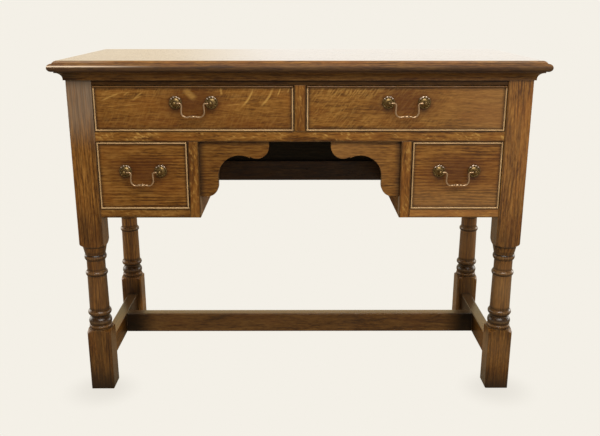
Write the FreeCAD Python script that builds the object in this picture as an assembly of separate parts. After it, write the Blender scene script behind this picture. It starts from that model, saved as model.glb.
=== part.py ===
import FreeCAD
import Part

import math
import os

# Oak lowboy on turned legs: two wide drawers across the top, and a small drawer each side of
# a kneehole. Millimetres: X to the right, Y to the back, Z up. The origin is on the floor,
# under the middle of the top.

V = FreeCAD.Vector
SAME_POINT = 1e-6

# Case widths and depth: the overall width, depth and height follow from what stands in a row
KNEEHOLE_WIDTH = 437.0
STILE_WIDTH = 23.5
PEDESTAL_OPENING = 196.0
DIVIDER_WIDTH = 25.4
CASE_DEPTH = 400.0

# Top board and its moulded edge
TOP_THICKNESS = 22.4
TOP_OVERHANG = 28.0
TOP_BACK_OVERHANG = 4.0
EDGE_ROUND = 4.8
EDGE_ROUND_WIDTH = 8.0
EDGE_STEP = 0.9
NOSE_LEDGE = 1.0

# Cove moulding under the top
COVE_HEIGHT = 18.6
COVE_FILLET = 2.5
COVE_FOOT = 3.5

# Legs: a square foot block, a turned column, and a square upper block
LEG = 54.0
LEG_ROUNDING = 2.2
FOOT_CORNER = 6.0
FOOT_ROUNDING = 4.0
FOOT_BLOCK = 131.0
SHOULDER = 19.0
SHOULDER_RADIUS = 25.5
GROOVE = 1.5
FOOT_BEAD = 7.0
FOOT_BEAD_RADIUS = 26.0
FOOT_WAIST_RADIUS = 24.4
BULB = 18.0
BULB_RADIUS = 25.8
BULB_RISE = 4.0
NECK = 4.0
NECK_RADIUS = 20.4
LOW_RING = 14.0
LOW_RING_RADIUS = 26.5
COLUMN = 83.0
COLUMN_FOOT_RADIUS = 22.5
COLUMN_TOP_RADIUS = 21.7
RING = 12.0
RING_RADIUS = 24.7
UPPER_NECK = 27.0
UPPER_NECK_RADIUS = 20.7
COLLAR = 19.0
COLLAR_RADIUS = 22.8
COLLAR_TOP_RADIUS = 26.8
BLOCK_BELOW_CASE = 51.5

# Front frame
RAIL_SETBACK = 2.0
RAIL_THICKNESS = 22.0
SHELF_RAIL_DEPTH = 40.0
TOP_RAIL_HEIGHT = 29.1
UPPER_OPENING = 97.0
MIDDLE_RAIL_HEIGHT = 23.0
LOWER_OPENING = 149.0
BOTTOM_RAIL_HEIGHT = 20.5

# Joints between the boards
TENON_SHOULDER = 5.0
TENON = 26.0
STUB_TENON = 8.0
TONGUE = 10.0
TONGUE_THICKNESS = 8.0

# Sides, back and kneehole panels
SIDE_THICKNESS = 18.0
SIDE_SETBACK = 4.0
BACK_RAIL_SETBACK = 12.0
BACK_BOTTOM_RAIL_HEIGHT = 51.0
BACK_PANEL_THICKNESS = 6.0
BACK_PANEL_SEAT = 8.0
BACK_GROOVE = 8.0

# Scrolled apron brackets in the kneehole
APRON_THICKNESS = 18.0
APRON_SETBACK = 8.0
APRON_TIP_STRAIGHT = 12.0
APRON_LOBE_RADIUS = 27.0
APRON_LOBE_TO_STEP = 15.0
APRON_STEP = 3.2
APRON_LOBE_TO_ARCH = 37.5
APRON_ARCH_RADIUS = 47.0
APRON_FOOT_WIDTH = 40.0
APRON_FOOT_STRAIGHT = 19.5
APRON_FOOT_RADIUS = 25.0

# H stretcher
STRETCHER_HEIGHT = 50.0
STRETCHER_THICKNESS = 26.0
STRETCHER_FLOOR = 53.0
STRETCHER_ROUNDING = 2.5
SIDE_STRETCHER_INSIDE_MIDDLE = 3.0
CROSS_STRETCHER_BEHIND_MIDDLE = 18.5

# Runners, guides, kickers and stops for the drawers
RUNNER_REACH = 20.0
RUNNER_WIDTH = 64.0
INNER_RUNNER_WIDTH = 28.0
GUIDE_WIDTH = 18.0
INNER_GUIDE_WIDTH = 7.5
GUIDE_HEIGHT = 20.0
KICKER_HEIGHT = 24.0
STOP_LENGTH = 30.0
STOP_DEPTH = 12.0
STOP_HEIGHT = 5.0
STOP_INSET = 55.0

# Drawer boxes
DRAWER_SIDE_GAP = 1.5
DRAWER_TOP_GAP = 1.5
DRAWER_RUNNING_GAP = 0.3
DRAWER_BACK_GAP = 14.0
DRAWER_FRONT = 20.0
DRAWER_SIDE = 11.0
DRAWER_BACK = 11.0
DRAWER_SIDE_DROP = 1.0
DRAWER_BACK_DROP = 7.0
DRAWER_BOTTOM = 6.0
DRAWER_BOTTOM_RECESS = 8.0
DRAWER_GROOVE = 5.0
TAIL_LAP = 2.0
TAIL_PITCH = 34.0
TAIL_SLOPE = 1.0 / 6.0
PIN_TIP = 6.0

# Cock bead round each drawer front
BEAD_WIDTH = 3.2
BEAD_DEPTH = 7.0
BEAD_PROUD = 2.8

# Swan-neck handles
HANDLE_SPACING = 76.0
UPPER_HANDLE_RISE = 12.8
LOWER_HANDLE_RISE = 11.0
ROSETTE_RADIUS = 13.5
ROSETTE_EDGE = 1.2
ROSETTE_RIM = 3.0
ROSETTE_DOME = 4.8
ROSETTE_DOME_BULGE = 3.9
POST_NECK_RADIUS = 3.2
POST_STANDOFF = 16.5
BALL_RADIUS = 5.2
SHANK_RADIUS = 2.0
SHANK_HOLE_GAP = 0.2
SHANK_TAIL = 2.5
NUT_ACROSS_FLATS = 7.0
NUT_THICKNESS = 3.2
THREAD_GAP = 0.05
BAIL_RADIUS = 1.8
BAIL_GAP = 0.05
BAIL_SEAT = 1.0
BAIL_END_GAP = 0.4
BAIL_DROP = 33.3
BAIL_NECK_INSET = 15.0
BAIL_FLARE = 2.5
BAIL_NECK_BEND = 4.5
BAIL_FOOT_BEND = 11.0
BAIL_KNEE = 8.2
BAIL_KNEE_BEND = 8.0
GRIP_RISE = 5.3
GRIP_BEAD_PROUD = 1.2
GRIP_BEAD_HALF = 4.5
GRIP_COLLAR_PROUD = 0.8
GRIP_COLLAR_WIDTH = 2.0

# Screws that hold the top down
SCREW_FROM_MIDDLE = 120.0
SCREW_FROM_LEG = 78.0
SCREW_RADIUS = 2.2
SCREW_BITE = 13.0
SCREW_HEAD_RADIUS = 4.2
SCREW_HEAD = 3.0
SCREW_GAP = 0.1
COUNTERBORE_GAP = 0.8
COUNTERBORE_DEPTH = 12.0

# Places worked out from the sizes above, first across, then front to back, then upwards
DIVIDER_EDGE = DIVIDER_WIDTH / 2
STILE_IN = KNEEHOLE_WIDTH / 2
STILE_OUT = STILE_IN + STILE_WIDTH
LEG_IN = STILE_OUT + PEDESTAL_OPENING
LEG_OUT = LEG_IN + LEG
TOP_WIDTH = 2 * (LEG_OUT + TOP_OVERHANG)
TOP_DEPTH = TOP_OVERHANG + CASE_DEPTH + TOP_BACK_OVERHANG
FRONT = -TOP_DEPTH / 2 + TOP_OVERHANG
BACK = FRONT + CASE_DEPTH
FRONT_LEG_BACK = FRONT + LEG
REAR_LEG_FRONT = BACK - LEG
FACE = FRONT + RAIL_SETBACK
RAIL_BACK = FACE + RAIL_THICKNESS
SHELF_RAIL_BACK = FACE + SHELF_RAIL_DEPTH
FOOT_TURNING = SHOULDER + GROOVE + FOOT_BEAD + GROOVE + BULB + NECK + LOW_RING
HEAD_TURNING = RING + UPPER_NECK + RING + GROOVE + COLLAR + SHOULDER
CASE_FLOOR = FOOT_BLOCK + FOOT_TURNING + COLUMN + HEAD_TURNING + BLOCK_BELOW_CASE
LOWER_FLOOR = CASE_FLOOR + BOTTOM_RAIL_HEIGHT
LOWER_TOP = LOWER_FLOOR + LOWER_OPENING
UPPER_FLOOR = LOWER_TOP + MIDDLE_RAIL_HEIGHT
UPPER_TOP = UPPER_FLOOR + UPPER_OPENING
CASE_TOP = UPPER_TOP + TOP_RAIL_HEIGHT
HEIGHT = CASE_TOP + TOP_THICKNESS
SIDE_OUT = LEG_OUT - SIDE_SETBACK
SIDE_IN = SIDE_OUT - SIDE_THICKNESS
PANEL_IN = STILE_OUT - INNER_GUIDE_WIDTH
BACK_RAIL = (BACK - BACK_RAIL_SETBACK - RAIL_THICKNESS, BACK - BACK_RAIL_SETBACK)
BACK_RAIL_TOP = CASE_FLOOR + BACK_BOTTOM_RAIL_HEIGHT
BACK_PANEL_FRONT = BACK_RAIL[0] + BACK_PANEL_SEAT
BACK_PANEL = (BACK_PANEL_FRONT, BACK_PANEL_FRONT + BACK_PANEL_THICKNESS)
BACK_MIDDLE_RAIL = (BACK_PANEL_FRONT - RAIL_THICKNESS, BACK_PANEL_FRONT)
STRETCHER_Z = (STRETCHER_FLOOR, STRETCHER_FLOOR + STRETCHER_HEIGHT)
STRETCHER_IN = LEG_OUT - LEG / 2 - SIDE_STRETCHER_INSIDE_MIDDLE - STRETCHER_THICKNESS / 2
DRAWER_INSIDE = FACE + DRAWER_FRONT
DRAWER_END = BACK_MIDDLE_RAIL[0] - DRAWER_BACK_GAP
TAIL_TIP = FACE + BEAD_DEPTH + TAIL_LAP
PIVOT = FACE - POST_STANDOFF


class Outline:
    """A closed outline of lines and arcs. place turns its own two coordinates into a point."""

    def __init__(self, place, u, v):
        self.place = place
        self.start = self.here = (u, v)
        self.edges = []

    def line(self, u, v):
        """A straight run, or nothing where the outline is at that point already."""
        if math.dist(self.here, (u, v)) > SAME_POINT:
            self.edges.append(Part.makeLine(self.place(*self.here), self.place(u, v)))
        self.here = (u, v)
        return self

    def arc(self, through, to):
        points = [self.place(*p) for p in (self.here, through, to)]
        self.edges.append(Part.Arc(*points).toShape())
        self.here = to
        return self

    def arc_about(self, centre, to):
        """The shorter arc to a point, about a centre that is as far from both ends."""
        radius = math.hypot(to[0] - centre[0], to[1] - centre[1])
        u = self.here[0] + to[0] - 2 * centre[0]
        v = self.here[1] + to[1] - 2 * centre[1]
        reach = radius / math.hypot(u, v)
        return self.arc((centre[0] + u * reach, centre[1] + v * reach), to)

    def face(self):
        self.line(*self.start)
        return Part.Face(Part.Wire(self.edges))


def block(x, y, z):
    """A square board from its three (low, high) ranges."""
    return Part.makeBox(x[1] - x[0], y[1] - y[0], z[1] - z[0], V(x[0], y[0], z[0]))


def centred(span, width):
    """A range of a given width about the middle of another."""
    middle = (span[0] + span[1]) / 2
    return (middle - width / 2, middle + width / 2)


def tenon(ranges, axis, end, length):
    """A tenon on one end of a board, in from its faces by the tenon shoulder."""
    low, high = ranges[axis]
    stub = [(lo + TENON_SHOULDER, hi - TENON_SHOULDER) for lo, hi in ranges]
    stub[axis] = (high, high + length) if end > 0 else (low - length, low)
    return block(*stub)


def join(body, *additions):
    return body.fuse(list(additions)).removeSplitter()


def cylinder(radius, start, end):
    axis = end - start
    return Part.makeCylinder(radius, axis.Length, start, axis)


def mirrored(shape):
    return shape.mirror(V(0, 0, 0), V(1, 0, 0))


def in_yz(y, z):
    return V(0, y, z)


def in_xz(x, z):
    return V(x, 0, z)


# Top board and mouldings

def edge_profile(outline, outward, edge):
    """Draws the moulded edge upwards from the board's underside, where outward is -1 or 1."""
    round_foot = HEIGHT - EDGE_ROUND
    nose_top = round_foot - EDGE_STEP
    nose_radius = (nose_top - CASE_TOP) / 2
    nose = edge - outward * nose_radius
    step = nose - outward * NOSE_LEDGE
    inner = step - outward * EDGE_ROUND_WIDTH
    radius = (EDGE_ROUND_WIDTH ** 2 + EDGE_ROUND ** 2) / (2 * EDGE_ROUND)
    outline.line(nose, CASE_TOP)
    outline.arc((edge, CASE_TOP + nose_radius), (nose, nose_top))
    outline.line(step, nose_top).line(step, round_foot)
    return outline.arc_about((inner, HEIGHT - radius), (inner, HEIGHT))


def top_board():
    """The same moulding on the front and both ends, mitred where two runs of it cross."""
    half, front, back = TOP_WIDTH / 2, -TOP_DEPTH / 2, TOP_DEPTH / 2
    run = Outline(in_yz, back, CASE_TOP)
    edge_profile(run, -1, front).line(back, HEIGHT)
    along = run.face().extrude(V(TOP_WIDTH, 0, 0))
    along.translate(V(-half, 0, 0))
    right = Outline(in_xz, 0, CASE_TOP)
    edge_profile(right, 1, half).line(0, HEIGHT)
    end = right.face().extrude(V(0, TOP_DEPTH, 0))
    end.translate(V(0, front, 0))
    return along.common(join(end, mirrored(end)))


def cove_section(place):
    """The cove's section: first coordinate outwards from the leg face, second upwards."""
    low = CASE_TOP - COVE_HEIGHT
    radius = COVE_HEIGHT - 2 * COVE_FILLET
    reach = COVE_FOOT + radius
    section = Outline(place, 0, low).line(COVE_FOOT, low).line(COVE_FOOT, low + COVE_FILLET)
    section.arc_about((reach, low + COVE_FILLET), (reach, CASE_TOP - COVE_FILLET))
    return section.line(reach, CASE_TOP).line(0, CASE_TOP).face()


def cove_mouldings():
    """Front and end lengths, mitred at the front corners, with a backing between the legs."""
    z = (CASE_TOP - COVE_HEIGHT, CASE_TOP)
    reach = COVE_FOOT + COVE_HEIGHT - 2 * COVE_FILLET
    far = LEG_OUT + reach
    front = cove_section(lambda out, up: V(-far, FRONT - out, up)).extrude(V(2 * far, 0, 0))
    end = cove_section(lambda out, up: V(LEG_OUT + out, FRONT - reach, up))
    end = end.extrude(V(0, BACK - FRONT + reach, 0))
    plan = Outline(lambda x, y: V(x, y, z[0]), 0, FRONT).line(LEG_OUT, FRONT)
    half = plan.line(far, FRONT - reach).line(0, FRONT - reach).face().extrude(V(0, 0, COVE_HEIGHT))
    end = end.cut(half)
    front = front.common(join(half, mirrored(half)))
    front = join(front, block((-LEG_IN, LEG_IN), (FRONT, FACE), z))
    end = join(end, block((SIDE_OUT, LEG_OUT), (FRONT_LEG_BACK, REAR_LEG_FRONT), z))
    return [front, mirrored(end), end]


# Legs

def ring(outline, height, radius, root):
    """A half-round bead that starts and ends at the root radius."""
    foot = outline.here[1]
    outline.line(root, foot)
    return outline.arc((radius, foot + height / 2), (root, foot + height))


def leg_stock():
    """Square stock with its corners eased, more so on the foot, whose lower edges are rounded too."""
    half = (-LEG / 2, LEG / 2)
    seam = FOOT_BLOCK + SHOULDER
    foot, upper = block(half, half, (0, seam)), block(half, half, (seam, CASE_TOP))
    upper = upper.makeFillet(LEG_ROUNDING, [e for e in upper.Edges if e.BoundBox.ZLength > LEG])
    stock = foot.makeFillet(FOOT_CORNER, [e for e in foot.Edges if e.BoundBox.ZLength > LEG])
    for length in ("XLength", "YLength"):
        low = [e for e in foot.Edges if e.BoundBox.ZMax < LEG and getattr(e.BoundBox, length) > LEG / 2]
        stock = stock.common(foot.makeFillet(FOOT_ROUNDING, low))
    return join(stock, upper)


def turned_leg():
    """The turning about its own axis, with the square blocks left larger than the stock."""
    clear = LEG
    turn = Outline(in_xz, 0, 0).line(clear, 0).line(clear, FOOT_BLOCK)
    shoulder_top = FOOT_BLOCK + SHOULDER
    corner = LEG / math.sqrt(2)
    bend = math.sqrt(0.5)
    width = corner - SHOULDER_RADIUS
    turn.line(corner, FOOT_BLOCK)
    turn.arc((SHOULDER_RADIUS + width * bend, FOOT_BLOCK + SHOULDER * bend), (SHOULDER_RADIUS, shoulder_top))
    turn.line(FOOT_WAIST_RADIUS, shoulder_top).line(FOOT_WAIST_RADIUS, shoulder_top + GROOVE)
    ring(turn, FOOT_BEAD, FOOT_BEAD_RADIUS, FOOT_WAIST_RADIUS)
    foot = turn.here[1] + GROOVE
    turn.line(FOOT_WAIST_RADIUS, foot)
    turn.arc((BULB_RADIUS, foot + BULB_RISE), (NECK_RADIUS, foot + BULB))
    turn.line(NECK_RADIUS, foot + BULB + NECK)
    ring(turn, LOW_RING, LOW_RING_RADIUS, COLUMN_FOOT_RADIUS)
    turn.line(COLUMN_TOP_RADIUS, turn.here[1] + COLUMN)
    ring(turn, RING, RING_RADIUS, COLUMN_TOP_RADIUS)
    turn.line(UPPER_NECK_RADIUS, turn.here[1]).line(UPPER_NECK_RADIUS, turn.here[1] + UPPER_NECK)
    ring(turn, RING, RING_RADIUS, COLLAR_RADIUS)
    turn.line(COLLAR_RADIUS, turn.here[1] + GROOVE)
    block_foot = turn.here[1] + COLLAR
    turn.line(COLLAR_TOP_RADIUS, block_foot)
    block_full = block_foot + SHOULDER
    width = corner - COLLAR_TOP_RADIUS
    turn.arc((COLLAR_TOP_RADIUS + width * bend, block_full - SHOULDER * bend), (corner, block_full))
    turn.line(clear, block_full).line(clear, CASE_TOP).line(0, CASE_TOP)
    return turn.face().revolve(V(0, 0, 0), V(0, 0, 1), 360).common(leg_stock())


def legs(mortises):
    """The four legs, each cut for every tenon and tongue that enters it."""
    blank = turned_leg()
    placed = {}
    for end, y in (("front", FRONT + LEG / 2), ("rear", BACK - LEG / 2)):
        for side, x in (("left", LEG / 2 - LEG_OUT), ("right", LEG_OUT - LEG / 2)):
            leg = blank.translated(V(x, y, 0))
            cuts = [m for m in mortises if leg.BoundBox.intersect(m.BoundBox)]
            placed[f"{end}_{side}_leg"] = leg.cut(cuts)
    return placed


# Front frame

def rail_between_legs(y, z, depth=RAIL_THICKNESS):
    """A rail from leg to leg with a tenon on each end, and those tenons. y is its front face."""
    x = (-LEG_IN, LEG_IN)
    tenons = [tenon([x, (y, y + RAIL_THICKNESS), z], 0, end, TENON) for end in (-1, 1)]
    return join(block(x, (y, y + depth), z), *tenons), tenons


def bottom_rail():
    """The rail under the right small drawer: leg tenon first, stile tenon second."""
    ranges = [(STILE_OUT, LEG_IN), (FACE, RAIL_BACK), (CASE_FLOOR, LOWER_FLOOR)]
    shelf = block(ranges[0], (RAIL_BACK, SHELF_RAIL_BACK), ranges[2])
    tenons = [tenon(ranges, 0, 1, TENON), tenon(ranges, 0, -1, STUB_TENON)]
    return join(block(*ranges), shelf, *tenons), tenons


def stile():
    """The upright between the right small drawer and the kneehole, and its tenon."""
    ranges = [(STILE_IN, STILE_OUT), (FACE, RAIL_BACK), (CASE_FLOOR, LOWER_TOP)]
    top = tenon(ranges, 2, 1, STUB_TENON)
    return join(block(*ranges), top), top


def divider():
    """The upright between the two wide drawers, and its two tenons."""
    ranges = [(-DIVIDER_EDGE, DIVIDER_EDGE), (FACE, RAIL_BACK), (UPPER_FLOOR, UPPER_TOP)]
    tenons = [tenon(ranges, 2, end, STUB_TENON) for end in (-1, 1)]
    return join(block(*ranges), *tenons), tenons


def apron():
    """The right scrolled bracket, a lobe and an arch with a small step between, and its tongue."""
    y = (FACE + APRON_SETBACK, FACE + APRON_SETBACK + APRON_THICKNESS)
    foot_edge = STILE_IN - APRON_FOOT_WIDTH
    arch_x = foot_edge - APRON_ARCH_RADIUS
    lobe = (arch_x - APRON_LOBE_TO_ARCH, LOWER_TOP - APRON_TIP_STRAIGHT)
    tip = lobe[0] - APRON_LOBE_RADIUS
    step_x = lobe[0] + APRON_LOBE_TO_STEP
    step_top = lobe[1] - math.sqrt(APRON_LOBE_RADIUS ** 2 - APRON_LOBE_TO_STEP ** 2)
    step = (step_x, step_top - APRON_STEP)
    arch = (arch_x, step[1] - math.sqrt(APRON_ARCH_RADIUS ** 2 - (arch_x - step_x) ** 2))
    foot = (foot_edge + APRON_FOOT_RADIUS, arch[1] - APRON_FOOT_STRAIGHT)
    floor = foot[1] - APRON_FOOT_RADIUS
    scroll = Outline(lambda x, z: V(x, y[0], z), tip, LOWER_TOP).line(tip, lobe[1])
    scroll.arc_about(lobe, (lobe[0], lobe[1] - APRON_LOBE_RADIUS)).arc_about(lobe, (step_x, step_top))
    scroll.line(*step).arc_about(arch, (arch_x, arch[1] + APRON_ARCH_RADIUS))
    scroll.arc_about(arch, (foot_edge, arch[1])).line(foot_edge, foot[1])
    scroll.arc_about(foot, (foot[0], floor)).line(STILE_IN, floor).line(STILE_IN, LOWER_TOP)
    tongue = block((tip + TENON_SHOULDER, STILE_IN - TENON_SHOULDER), centred(y, TONGUE_THICKNESS),
                   (LOWER_TOP, LOWER_TOP + STUB_TENON))
    return join(scroll.face().extrude(V(0, APRON_THICKNESS, 0)), tongue), tongue


# Sides, back and kneehole

def side_panel():
    """The right end of the case, tongued into both legs, and its tongues."""
    tongue_x = centred((SIDE_IN, SIDE_OUT), TONGUE_THICKNESS)
    tongue_z = (CASE_FLOOR + TENON_SHOULDER, CASE_TOP)
    panel = block((SIDE_IN, SIDE_OUT), (FRONT_LEG_BACK, REAR_LEG_FRONT), (CASE_FLOOR, CASE_TOP))
    tongues = [block(tongue_x, (FRONT_LEG_BACK - TONGUE, FRONT_LEG_BACK), tongue_z),
               block(tongue_x, (REAR_LEG_FRONT, REAR_LEG_FRONT + TONGUE), tongue_z)]
    return join(panel, *tongues), tongues


def back_panel():
    """A thin board held in grooves in the rear legs and in the rails above and below."""
    reach = LEG_IN + BACK_GROOVE
    between = block((-reach, reach), BACK_PANEL, (BACK_RAIL_TOP, UPPER_TOP))
    edges = [block((-LEG_IN, LEG_IN), BACK_PANEL, (BACK_RAIL_TOP - BACK_GROOVE, BACK_RAIL_TOP)),
             block((-LEG_IN, LEG_IN), BACK_PANEL, (UPPER_TOP, UPPER_TOP + BACK_GROOVE))]
    return join(between, *edges)


def kneehole_panel():
    """The right wall of the kneehole and its tongues, into the stile and the back rail."""
    x = (STILE_IN, PANEL_IN)
    tongue_x = centred(x, TONGUE_THICKNESS)
    wall = block(x, (RAIL_BACK, BACK_RAIL[0]), (CASE_FLOOR, LOWER_TOP))
    over_rail = block(x, (BACK_RAIL[0], BACK_PANEL[0]), (BACK_RAIL_TOP, LOWER_TOP))
    low = CASE_FLOOR + TENON_SHOULDER
    tongues = [block(tongue_x, (RAIL_BACK - STUB_TENON, RAIL_BACK), (low, LOWER_TOP)),
               block(tongue_x, (BACK_RAIL[0], BACK_RAIL[0] + STUB_TENON),
                     (low, BACK_RAIL_TOP - BACK_GROOVE - TENON_SHOULDER))]
    return join(wall, over_rail, *tongues), tongues


# Stretchers

def eased_bar(ranges, axis):
    """A bar with its four long edges rounded."""
    bar = block(*ranges)
    length = ranges[axis][1] - ranges[axis][0]
    along = [e for e in bar.Edges if abs(e.tangentAt(0)[axis]) > 0.9 and abs(e.Length - length) < 1e-6]
    return bar.makeFillet(STRETCHER_ROUNDING, along)


def side_stretcher():
    """The right side stretcher and its leg tenons."""
    x = (STRETCHER_IN, STRETCHER_IN + STRETCHER_THICKNESS)
    ranges = [x, (FRONT_LEG_BACK, REAR_LEG_FRONT), STRETCHER_Z]
    tenons = [tenon(ranges, 1, end, TENON) for end in (-1, 1)]
    return join(eased_bar(ranges, 1), *tenons), tenons


def cross_stretcher():
    """The bar between the side stretchers, and its tenons."""
    middle = (FRONT + BACK) / 2 + CROSS_STRETCHER_BEHIND_MIDDLE
    ranges = [(-STRETCHER_IN, STRETCHER_IN), centred((middle, middle), STRETCHER_THICKNESS), STRETCHER_Z]
    tenons = [tenon(ranges, 0, end, STUB_TENON) for end in (-1, 1)]
    return join(eased_bar(ranges, 0), *tenons), tenons


# Runners, guides, kickers and stops

def right_runners():
    """Strips on the right half: upper and lower runners, guides, kickers and drawer stops."""
    between_legs = (FRONT_LEG_BACK, REAR_LEG_FRONT)
    outer_x = (LEG_IN - RUNNER_REACH, SIDE_IN)
    guide_x = (LEG_IN, LEG_IN + GUIDE_WIDTH)
    inner_x = (PANEL_IN, PANEL_IN + INNER_RUNNER_WIDTH)
    strips = []
    for low, floor in ((LOWER_TOP, UPPER_FLOOR), (CASE_FLOOR, LOWER_FLOOR)):
        strips.append(block(outer_x, between_legs, (low, floor)))
        strips.append(block(guide_x, between_legs, (floor, floor + GUIDE_HEIGHT)))
    to_back = (RAIL_BACK, BACK_RAIL[0])
    strips.append(block((STILE_IN, inner_x[1]), (SHELF_RAIL_BACK, BACK_MIDDLE_RAIL[0]),
                        (LOWER_TOP, UPPER_FLOOR)))
    strips.append(block(inner_x, (SHELF_RAIL_BACK, BACK_RAIL[0]), (CASE_FLOOR, LOWER_FLOOR)))
    strips.append(block((PANEL_IN, STILE_OUT), to_back, (LOWER_FLOOR, LOWER_FLOOR + GUIDE_HEIGHT)))
    strips.append(block((LEG_IN - RUNNER_REACH, LEG_IN), to_back, (UPPER_TOP, UPPER_TOP + KICKER_HEIGHT)))
    stop_y = (DRAWER_INSIDE, DRAWER_INSIDE + STOP_DEPTH)
    for inner, floor in ((DIVIDER_EDGE, UPPER_FLOOR), (STILE_OUT, LOWER_FLOOR)):
        for x in (inner + STOP_INSET, LEG_IN - STOP_INSET):
            stop_x = (x - STOP_LENGTH / 2, x + STOP_LENGTH / 2)
            strips.append(block(stop_x, stop_y, (floor, floor + STOP_HEIGHT)))
    return strips


def runners():
    """Both halves, with the centre runner, guide and kicker between the wide drawers."""
    half = RUNNER_WIDTH / 2
    right = right_runners()
    centre = [block((-half, half), (SHELF_RAIL_BACK, BACK_MIDDLE_RAIL[0]), (LOWER_TOP, UPPER_FLOOR)),
              block((-DIVIDER_EDGE, DIVIDER_EDGE), (RAIL_BACK, BACK_MIDDLE_RAIL[0]),
                    (UPPER_FLOOR, UPPER_FLOOR + GUIDE_HEIGHT)),
              block((-half, half), (RAIL_BACK, BACK_RAIL[0]), (UPPER_TOP, UPPER_TOP + KICKER_HEIGHT))]
    return right + [mirrored(strip) for strip in right] + centre


# Screws

def top_screws():
    """Screws up through the front and back top rails, and the holes that take them."""
    screws, holes = [], []
    seat = UPPER_TOP + COUNTERBORE_DEPTH
    tip = CASE_TOP + SCREW_BITE
    places = (SCREW_FROM_MIDDLE, LEG_IN - SCREW_FROM_LEG)
    for y in ((FACE + RAIL_BACK) / 2, (BACK_RAIL[0] + BACK_RAIL[1]) / 2):
        for x in [side * place for place in places for side in (-1, 1)]:
            head = cylinder(SCREW_HEAD_RADIUS, V(x, y, seat - SCREW_HEAD), V(x, y, seat))
            screws.append(join(head, cylinder(SCREW_RADIUS, V(x, y, seat), V(x, y, tip))))
            bore = SCREW_HEAD_RADIUS + COUNTERBORE_GAP
            holes.append(cylinder(bore, V(x, y, UPPER_TOP), V(x, y, seat)))
            holes.append(cylinder(SCREW_RADIUS + SCREW_GAP, V(x, y, seat), V(x, y, tip + SCREW_GAP)))
    return screws, holes


# Drawers

def dovetails(x, root, tip, z):
    """Tails through a side's thickness, from their root line to their wider tips."""
    count = max(2, round((z[1] - z[0]) / TAIL_PITCH))
    pitch = (z[1] - z[0]) / count
    wide = (pitch - PIN_TIP) / 2
    narrow = wide - TAIL_SLOPE * abs(tip - root)
    tails = []
    for i in range(count):
        mid = z[0] + pitch * (i + 0.5)
        tail = Outline(lambda y, up: V(x[0], y, up), root, mid - narrow).line(tip, mid - wide)
        tails.append(tail.line(tip, mid + wide).line(root, mid + narrow).face().extrude(V(x[1] - x[0], 0, 0)))
    return tails


def bead_strip(place, along, across):
    """One mitred strip of cock bead. across runs from the drawer's edge inwards."""
    nose = FACE - BEAD_PROUD + BEAD_WIDTH / 2
    root = FACE + BEAD_DEPTH
    middle = (across[0] + across[1]) / 2
    section = Outline(lambda y, w: place(along[0], w, y), root, across[0]).line(nose, across[0])
    section.arc((FACE - BEAD_PROUD, middle), (nose, across[1])).line(root, across[1])
    strip = section.face().extrude(place(along[1], 0, 0) - place(along[0], 0, 0))
    plan = Outline(lambda u, w: place(u, w, FACE - BEAD_PROUD), along[0], across[0]).line(along[1], across[0])
    plan.line(along[1] - BEAD_WIDTH, across[1]).line(along[0] + BEAD_WIDTH, across[1])
    return strip.common(plan.face().extrude(V(0, BEAD_PROUD + BEAD_DEPTH, 0)))


def cock_bead(x, z):
    """The four strips round a drawer front."""
    level, upright = (lambda u, w, y: V(u, y, w)), (lambda u, w, y: V(w, y, u))
    return [bead_strip(level, x, (z[0], z[0] + BEAD_WIDTH)),
            bead_strip(level, x, (z[1], z[1] - BEAD_WIDTH)),
            bead_strip(upright, z, (x[0], x[0] + BEAD_WIDTH)),
            bead_strip(upright, z, (x[1], x[1] - BEAD_WIDTH))]


def drawer_box(x, z, rise):
    """The wooden pieces of one drawer, for an opening's x and z ranges."""
    x = (x[0] + DRAWER_SIDE_GAP, x[1] - DRAWER_SIDE_GAP)
    z = (z[0] + DRAWER_RUNNING_GAP, z[1] - DRAWER_TOP_GAP)
    side_z = (z[0], z[1] - DRAWER_SIDE_DROP)
    bottom_z = (z[0] + DRAWER_BOTTOM_RECESS, z[0] + DRAWER_BOTTOM_RECESS + DRAWER_BOTTOM)
    back_z = (bottom_z[1], side_z[1] - DRAWER_BACK_DROP)
    back_y = (DRAWER_END - DRAWER_BACK, DRAWER_END)
    inside = (x[0] + DRAWER_SIDE, x[1] - DRAWER_SIDE)
    groove = (inside[0] - DRAWER_GROOVE, inside[1] + DRAWER_GROOVE)
    bottom = block(groove, (DRAWER_INSIDE - DRAWER_GROOVE, DRAWER_END), bottom_z)
    front = block(x, (FACE + BEAD_DEPTH, DRAWER_INSIDE), z)
    front = join(front, block((x[0] + BEAD_WIDTH, x[1] - BEAD_WIDTH), (FACE, FACE + BEAD_DEPTH),
                              (z[0] + BEAD_WIDTH, z[1] - BEAD_WIDTH)))
    back = block(inside, back_y, back_z)
    pieces = {}
    for name, side_x in (("left_side", (x[0], inside[0])), ("right_side", (inside[1], x[1]))):
        tails = dovetails(side_x, DRAWER_INSIDE, TAIL_TIP, side_z)
        back_tails = dovetails(side_x, back_y[0], back_y[1], back_z)
        pins = block(side_x, back_y, back_z).cut(back_tails)
        side = block(side_x, (DRAWER_INSIDE, DRAWER_END), side_z).cut(pins)
        pieces[name] = join(side, *tails).cut(bottom)
        front = front.cut(tails)
        back = join(back, pins)
    front = front.cut(bottom)
    middle = ((x[0] + x[1]) / 2, (z[0] + z[1]) / 2 + rise)
    for post in post_places(middle[0]):
        start, end = V(post, FACE, middle[1]), V(post, DRAWER_INSIDE, middle[1])
        front = front.cut(cylinder(SHANK_RADIUS + SHANK_HOLE_GAP, start, end))
    pieces.update(front=front, back=back, bottom=bottom)
    return pieces, Part.makeCompound(cock_bead(x, z)), middle


# Handles

def post_places(x):
    return (x - HANDLE_SPACING / 2, x + HANDLE_SPACING / 2)


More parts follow.
